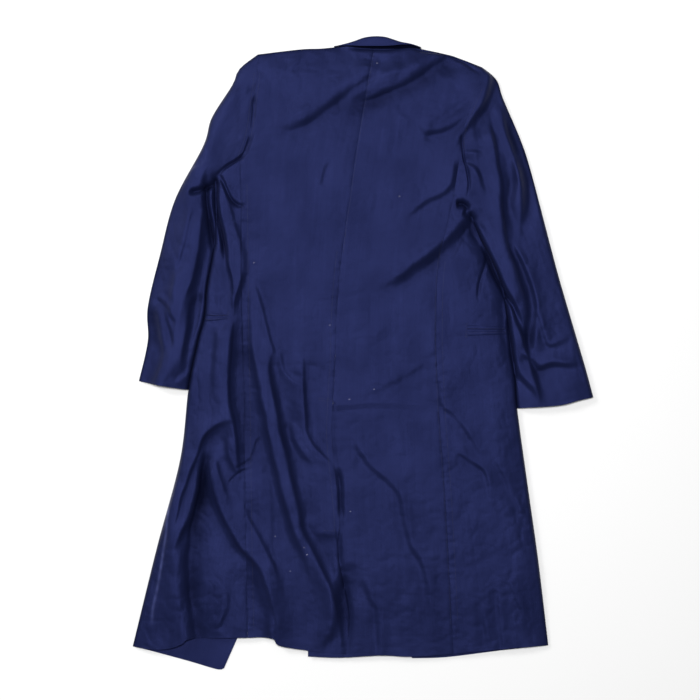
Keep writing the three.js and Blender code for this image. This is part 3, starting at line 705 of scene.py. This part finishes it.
def stitch_tree():
    """Instances of one stitch along rows of edges, laid on the cloth below them."""
    tree = bpy.data.node_groups.new("rows of stitches", "GeometryNodeTree")
    sizes = [(label, "NodeSocketFloat") for label in ("Pitch", "Length", "Width", "Unevenness")]
    pieces = [("Rows", "NodeSocketGeometry"), ("Cloth", "NodeSocketObject"), ("Thread", "NodeSocketMaterial")]
    for label, kind in pieces + sizes:
        tree.interface.new_socket(label, in_out="INPUT", socket_type=kind)
    tree.interface.new_socket("Stitches", in_out="OUTPUT", socket_type="NodeSocketGeometry")
    given = tree.nodes.new("NodeGroupInput").outputs
    row = add_node(tree, "GeometryNodeMeshToCurve", [("Mesh", given["Rows"])])
    spacing = [("Curve", row.outputs["Curve"]), ("Length", given["Pitch"])]
    spaced = add_node(tree, "GeometryNodeResampleCurve", spacing, mode="LENGTH")
    cloth = add_node(tree, "GeometryNodeObjectInfo", [("Object", given["Cloth"])])
    above = add_node(
        tree, "ShaderNodeVectorMath", [(0, add_node(tree, "GeometryNodeInputPosition").outputs[0])],
        [(1, (0, 0, 0.1))], operation="ADD",
    )
    touch = add_node(
        tree, "GeometryNodeRaycast",
        [("Target Geometry", cloth.outputs["Geometry"]), ("Source Position", above.outputs["Vector"])],
        [("Ray Direction", (0, 0, -1)), ("Ray Length", 0.2)],
    )
    laid = add_node(tree, "GeometryNodeSetPosition", [
        ("Geometry", spaced.outputs["Curve"]), ("Selection", touch.outputs["Is Hit"]),
        ("Position", touch.outputs["Hit Position"]),
    ])
    heading = add_node(tree, "GeometryNodeInputTangent").outputs[0]
    along = add_node(tree, "FunctionNodeAlignRotationToVector", [("Vector", heading)], axis="X")
    ball = add_node(tree, "GeometryNodeMeshUVSphere", (), [("Segments", 6), ("Rings", 4), ("Radius", 0.5)])
    uneven = add_node(tree, "FunctionNodeRandomValue", (), [("Min", -1), ("Max", 1), ("Seed", 4)])
    share = math_node(tree, "MULTIPLY_ADD", uneven.outputs["Value"], given["Unevenness"], 1.0)
    long = math_node(tree, "MULTIPLY", given["Length"], share)
    thick = given["Width"]
    size = add_node(tree, "ShaderNodeCombineXYZ", [("X", long), ("Y", thick), ("Z", thick)])
    stitches = add_node(tree, "GeometryNodeInstanceOnPoints", [
        ("Points", laid.outputs["Geometry"]), ("Instance", ball.outputs["Mesh"]),
        ("Selection", touch.outputs["Is Hit"]), ("Rotation", along.outputs["Rotation"]),
        ("Scale", size.outputs["Vector"]),
    ])
    real = add_node(tree, "GeometryNodeRealizeInstances", [("Geometry", stitches.outputs["Instances"])])
    finish = [("Geometry", real.outputs["Geometry"]), ("Material", given["Thread"])]
    sewn = add_node(tree, "GeometryNodeSetMaterial", finish)
    tree.links.new(sewn.outputs["Geometry"], tree.nodes.new("NodeGroupOutput").inputs["Stitches"])
    return tree


DARK_THREAD = (0.0022, 0.0030, 0.013)
PALE_THREAD = (0.020, 0.024, 0.085)


def thread_material():
    """Twisted navy sewing thread, close to the cotton in colour but uneven along its rows."""
    material = bpy.data.materials.new("navy thread")
    material.use_nodes = True
    tree = material.node_tree
    shader = tree.nodes["Principled BSDF"]
    on_thread = [("Vector", tree.nodes.new("ShaderNodeTexCoord").outputs["Object"])]
    patches = add_node(tree, "ShaderNodeTexNoise", on_thread, [("Scale", 160)])
    navy = shade_between(tree, patches.outputs["Fac"], 0.4, DARK_THREAD, 0.72, PALE_THREAD)
    tree.links.new(navy, shader.inputs["Base Color"])
    twist = add_node(tree, "ShaderNodeTexWave", on_thread, [("Scale", 600)], bands_direction="DIAGONAL")
    bump_on(tree, shader, twist.outputs["Fac"], 0.4, 0.0002)
    shader.inputs["Roughness"].default_value = 0.45
    return material


STITCHES = stitch_tree()
THREAD = thread_material()
STITCH_SIZES = {"Pitch": 4.2 * MM, "Length": 3.3 * MM, "Width": 0.55 * MM, "Unevenness": 0.2}
LINT = plain_material("lint", (0.42, 0.42, 0.55), 0.9)
LINT_SIZES = {"Pitch": 1.1 * MM, "Length": 1.5 * MM, "Width": 0.9 * MM, "Unevenness": 0.5}


def beside(path, offset, top, bottom):
    """A row that runs beside a line down the coat, between two heights; offset is its X from the line."""
    line = smooth_line(path, spacing=3)
    heading = np.gradient(line, axis=0)
    heading /= np.linalg.norm(heading, axis=1, keepdims=True)
    row = line + offset * np.stack([-heading[:, 1], heading[:, 0]], axis=1)
    return row[(row[:, 1] < top) & (row[:, 1] > bottom)]


def stitch(cloth, rows, word="stitches", thread=THREAD, sizes=STITCH_SIZES):
    """Stitches, or specks of lint, along rows of plan points, on top of a piece of cloth."""
    points = np.vstack([np.array(row, float) for row in rows])
    edges, start = [], 0
    for row in rows:
        edges += [(start + step, start + step + 1) for step in range(len(row) - 1)]
        start += len(row)
    mesh = bpy.data.meshes.new(f"{cloth.name}_{word}")
    plan = np.column_stack([points, np.zeros(len(points))]) * MM + (0, COAT_RISE * MM, 0)
    mesh.from_pydata(plan.tolist(), edges, [])
    piece = add_object(cloth.name.replace("cloth", word), mesh)
    needle = piece.modifiers.new(word, "NODES")
    needle.node_group = STITCHES
    values = {"Cloth": cloth, "Thread": thread, **sizes}
    for item in STITCHES.interface.items_tree:
        if item.in_out == "INPUT" and item.name in values:
            needle[item.identifier] = values[item.name]
    bpy.context.view_layer.update()
    sewn = bpy.data.meshes.new_from_object(piece.evaluated_get(bpy.context.evaluated_depsgraph_get()))
    piece.modifiers.remove(needle)
    piece.data = sewn
    sewn.shade_smooth()
    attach(piece, "root")
    return piece


def specks(*places):
    """Short rows for specks of lint at places of the plan."""
    return [[(x, y), (x + 1.2, y + 0.4)] for x, y in places]


def sew_up(name, mesh, thickness=CLOTH, rows=(), lint=()):
    mesh.materials.append(COTTON)
    piece = add_object(name + "_cloth", mesh)
    wall = piece.modifiers.new("cloth wall", "SOLIDIFY")
    wall.thickness = thickness * MM
    wall.offset = -1
    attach(piece, "root")
    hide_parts(name)
    on_it = [stitch(piece, rows)] if rows else []
    if lint:
        on_it.append(stitch(piece, lint, "lint", LINT, LINT_SIZES))


def steps_of(rows):
    return len(smooth_line(rows, spacing=GRID)) - 1


ARMHOLE_STEPS = {"left": steps_of(LEFT["armhole"]), "right": steps_of(RIGHT["armhole"])}
SIDE_STEPS = {"left": steps_of(LEFT["side seam"]), "right": steps_of(RIGHT["side seam"])}
VENT_SHARE = 0.5                # how far down the side seam the vent's top is level with


def back_rails(side, name):
    armhole, seam = ARMHOLE_STEPS[name], SIDE_STEPS[name]
    outer = join(smooth_line(side["armhole"], armhole), smooth_line(side["side seam"], seam))
    above = armhole + round(VENT_SHARE * seam)
    return outer, above, len(outer) - 1 - above


def back_ends(side):
    top = join(smooth_line(side["shoulder"], 46), smooth_line(side["neck"], 20))
    return top, smooth_line(side["back hem"], len(top) - 1)


outer, above_vent, below_vent = back_rails(LEFT, "left")
centre = join(smooth_line(CENTRE_SEAM, above_vent), smooth_line(VENT_FLAP, below_vent))
grid = draw_in(crowd_top(fill(*back_ends(LEFT), outer, centre)), left=SEAM_HALF, right=SEAM_HALF)
beside_seam(grid, left=True, right=True)
mesh = panel_mesh("back_left", [(grid, True, np.zeros(grid.shape[:2]))])
rows = [
    beside(CENTRE_SEAM + VENT_FLAP[1:], -9, 180, -320),
    [(-69, -320), (-50, -321)],
    [(-78, -83), (-55, -85)],
    [(-78, -87), (-55, -89)],
    beside(LEFT["side seam"], 11, 300, -500),
    beside(LEFT["armhole"], 5, 500, 290),
]
lint = specks((-158, -331), (-196, 160), (-60, 48), (-106, -350), (-101, -363), (-131, -393))
sew_up("back_left", mesh, rows=rows, lint=lint)

# ---- Right half of the back -------------------------------------------------------------------
# The other half, in the same cotton. Below the centre seam it goes on under the flap as the
# vent's underlap, down to the hem.
VENT_DROP = 10                  # length over which the underlap sinks below the flap

outer, above_vent, below_vent = back_rails(RIGHT, "right")
centre = join(
    smooth_line(CENTRE_SEAM, above_vent),
    smooth_line([CENTRE_SEAM[-1], (CENTRE_SEAM[-1][0], CENTRE_SEAM[-1][1] - VENT_DROP)], 4),
    smooth_line([(CENTRE_SEAM[-1][0], CENTRE_SEAM[-1][1] - VENT_DROP), VENT_UNDERLAP[0]], 3),
    smooth_line(VENT_UNDERLAP, below_vent - 7),
)
grid = draw_in(crowd_top(fill(*back_ends(RIGHT), outer, centre)), left=SEAM_HALF, right=SEAM_HALF)
beside_seam(grid, left=True, right=True)
flat_points = grid.reshape(-1, 2)
distance, side, _ = from_line(flat_points, smooth_line(VENT_FLAP, spacing=5))
under_flap = 1 - ease(distance * side, 1, 9)
tuck = under_flap * ease(-flat_points[:, 1], 87, 94)
mesh = panel_mesh("back_right", [(grid, True, tuck.reshape(grid.shape[:2]))])
rows = [beside(CENTRE_SEAM, 2, 535, 180), beside(RIGHT["side seam"], -1.6, 200, -490)]
lint = specks((25, 518), (-23, -286), (65, 279), (19, -67), (-25, -85))
sew_up("back_right", mesh, rows=rows, lint=lint)

# ---- Fronts -----------------------------------------------------------------------------------
# Each front starts at the side seam on top, turns round the side fold and lies face down below,
# out to the edge that would be buttoned. The left one's bottom corner swings out past the hem.


def side_edge(side, steps):
    """The line down from the armhole along the underarm seam and on down the side fold."""
    underarm = smooth_line(side["underarm"], spacing=GRID)
    return join(underarm, smooth_line(side["fold"], steps - len(underarm) + 1)), len(underarm) - 1


def front(word, side, rows):
    """A front: its strip on top, welded along the side fold to its face-down part."""
    seam = SIDE_STEPS[word]
    edge, armpit = side_edge(side, seam)
    width = steps_of(side["front hem"]) + 6
    point = np.repeat(edge[:1], width + 1, axis=0)
    strip = fill(point, smooth_line(side["front hem"], width), smooth_line(side["side seam"], seam), edge)
    strip = beside_seam(draw_in(crowd_rows(strip, at_end=True), left=SEAM_HALF), left=True)
    outer = join(smooth_line(side["armhole"], ARMHOLE_STEPS[word]), edge)
    top = join(smooth_line(side["shoulder"], 26), smooth_line(side["front neck"], 10))
    opening = smooth_line(side["front edge"], len(outer) - 1)
    under = fill(top, smooth_line(side["flap hem"], len(top) - 1), outer, opening)
    under = draw_in(crowd_top(crowd_rows(under, at_start=True)), left=SEAM_HALF)
    welded = len(edge) - armpit
    under[-welded:, 0] = strip[-welded:, -1]
    patches = [(strip, True, np.zeros(strip.shape[:2])), (under, False, np.zeros(under.shape[:2]))]
    name = "front_" + word
    sew_up(name, panel_mesh(name, patches), rows=rows)


front("left", LEFT, [
    [(-242, 71), (-242, 58)],
    [(-240, 70), (-240, 59)],
])
front("right", RIGHT, [
    beside(RIGHT["side seam"], 11, 160, -480),
    [(187, 51), (186, 27)],
    [(185, 50), (184, 28)],
])

# ---- Sleeves ----------------------------------------------------------------------------------
# One piece of cotton each, set into the armhole and laid down beside the skirt, with its seam
# out of sight below. They are open at the cuff.


def sleeve(word, side, rows):
    """A sleeve: its upper and its under side, each from the armhole across to the cuff."""
    edge, armpit = side_edge(side, SIDE_STEPS[word])
    at_cuff = int(np.argmin(np.linalg.norm(edge - np.array(side["cuff"][-1]), axis=1)))
    inner = edge[:at_cuff + 1]
    outer = smooth_line(side["sleeve outer"], spacing=GRID)
    across_from = int(np.argmin(abs(outer[:, 1] - inner[armpit, 1] - 30)))
    steps = ARMHOLE_STEPS[word]
    crossing = np.linspace(outer[across_from], inner[armpit], steps + 1)
    outer_head = smooth_line(outer[:across_from + 1], armpit)
    head = fill(smooth_line(side["armhole"], steps), crossing, outer_head, inner[:armpit + 1])
    length = len(inner) - 1 - armpit
    outer_arm = smooth_line(outer[across_from:], length)
    arm = fill(crossing, smooth_line(side["cuff"], steps), outer_arm, inner[armpit:])
    upper = crowd_rows(np.vstack([head, arm[1:]]), at_start=True, at_end=True)
    draw_in(upper, top=SEAM_HALF)
    none = np.zeros(upper.shape[:2])
    name = "sleeve_" + word
    mesh = panel_mesh(name, [(upper, True, none), (upper.copy(), False, none)])
    sew_up(name, mesh, rows=rows)


sleeve("left", LEFT, [
    beside(LEFT["armhole"], -5, 500, 330),
    [(-317, -58), (-311, -62)],
])
sleeve("right", RIGHT, [beside(RIGHT["armhole"], 5, 470, 330)])

# ---- Collar -----------------------------------------------------------------------------------
# The band along the back of the neck, in the same cotton: the fall on top turns over into the
# stand, which is sewn to the neck edge from inside. Between them it stands open.
COLLAR = [                      # X, and the Y of the neck seam, of the fall's edge and of the roll
    (-52, 547.5, 549, 549.8), (-44, 548.5, 550.2, 551.5), (-34, 548.5, 551, 554), (-23, 548.5, 551, 557),
    (-11, 547.5, 550.5, 561), (0, 546.5, 550, 565), (13, 545.5, 550, 567.4), (27, 545.2, 550, 568),
    (41, 545.3, 550.2, 566.5), (54, 545.5, 551, 562.5), (68, 546, 552.5, 558), (82, 546.8, 553, 555.4),
    (92, 547, 551.3, 552.8), (104, 545, 547.4, 548.4),
]
NECK_SEAM_HEIGHT = 5.6
FALL_HEIGHT = 6.0               # of a fall that is hardly folded; a wider one stands higher
MOST_TURN = 3.5                 # radius of the roll where the collar is wide enough for it
STAND_PAINTED_SHADE = 0.95              # painted shade: how far the stand's colour is darkened


def collar_section(x, neck, fall, roll):
    turn = min(MOST_TURN, (roll - fall) / 2)
    top = FALL_HEIGHT + turn / 2
    angles = np.linspace(90, -90, 11)[:, None]
    out = roll - turn + turn * np.cos(np.radians(angles))
    bend = np.hstack([out, top / 2 * (1 + np.sin(np.radians(angles)))])
    fall_part = np.linspace((fall, top - 0.3), (roll - turn, top), 5)[:-1]
    foot = min(fall + 0.5, roll - turn - 0.3)
    stand = np.linspace((roll - turn, 0), (foot, 0), 4)[1:]
    rise = [(foot + 0.35 * (neck - foot), 1.6), (foot + 0.75 * (neck - foot), 4.4), (neck, NECK_SEAM_HEIGHT)]
    rows = np.vstack([fall_part, bend, stand, rise])
    # The stand's colour is darkened with painted shade.
    shade = np.repeat([0, STAND_PAINTED_SHADE], [len(fall_part) + len(bend), len(stand) + len(rise)])
    return np.column_stack([np.full(len(rows), x), rows, shade])


roll_line = smooth_line([(x, roll) for x, _, _, roll in COLLAR], 60)
table = np.array(COLLAR, float)
stations = [
    (x, np.interp(x, table[:, 0], table[:, 1]), np.interp(x, table[:, 0], table[:, 2]), roll)
    for x, roll in roll_line
]
grid = np.stack([collar_section(*station) for station in stations])
mesh = cloth_mesh("collar", [grid])
sew_up("collar", mesh)

# ---- Pocket lips ------------------------------------------------------------------------------
# Two narrow lips of the same cotton on each front, one above the other, sewn down round a slit
# that shows between them. They run from near the side seam to the fold, and on out of sight.
LIP_LIFT = 1.0                  # how far a lip stands above the front
LIP_CLOTH = 0.8                 # thickness of a lip


def pocket_lips(word, upper, lower, parting, rows):
    """Lips between an upper and a lower line, which part at a share of the way down."""
    grids = []
    for start, end in ((0, parting - 0.05), (parting + 0.05, 1)):
        share = np.linspace(start, end, 7)[:, None, None]
        plan = (1 - share) * smooth_line(upper, 24)[None] + share * smooth_line(lower, 24)[None]
        across = np.sin(np.linspace(0, math.pi, 7)) ** 0.5
        lift = np.repeat((LIP_LIFT * across - 0.25)[:, None], 25, axis=1)
        grids.append(place(plan.reshape(-1, 2), True, lift=lift.reshape(-1)).reshape(*plan.shape[:2], 4))
    name = "pocket_lip_" + word
    mesh = cloth_mesh(name, grids)
    sew_up(name, mesh, thickness=LIP_CLOTH, rows=rows)


pocket_lips("left", [(-284, 72), (-264, 70), (-243, 68)],
            [(-285, 54), (-264, 56), (-243, 59)], 0.5,
            [[(-281, 67), (-246, 65)], [(-281, 58), (-246, 60.5)]])
pocket_lips("right", [(185, 49), (222, 47), (260, 46)],
            [(188, 28), (225, 30), (262, 31)], 0.48,
            [[(189, 42.5), (222, 41.5), (256, 41.5)], [(190, 34), (225, 35), (256, 36)]])
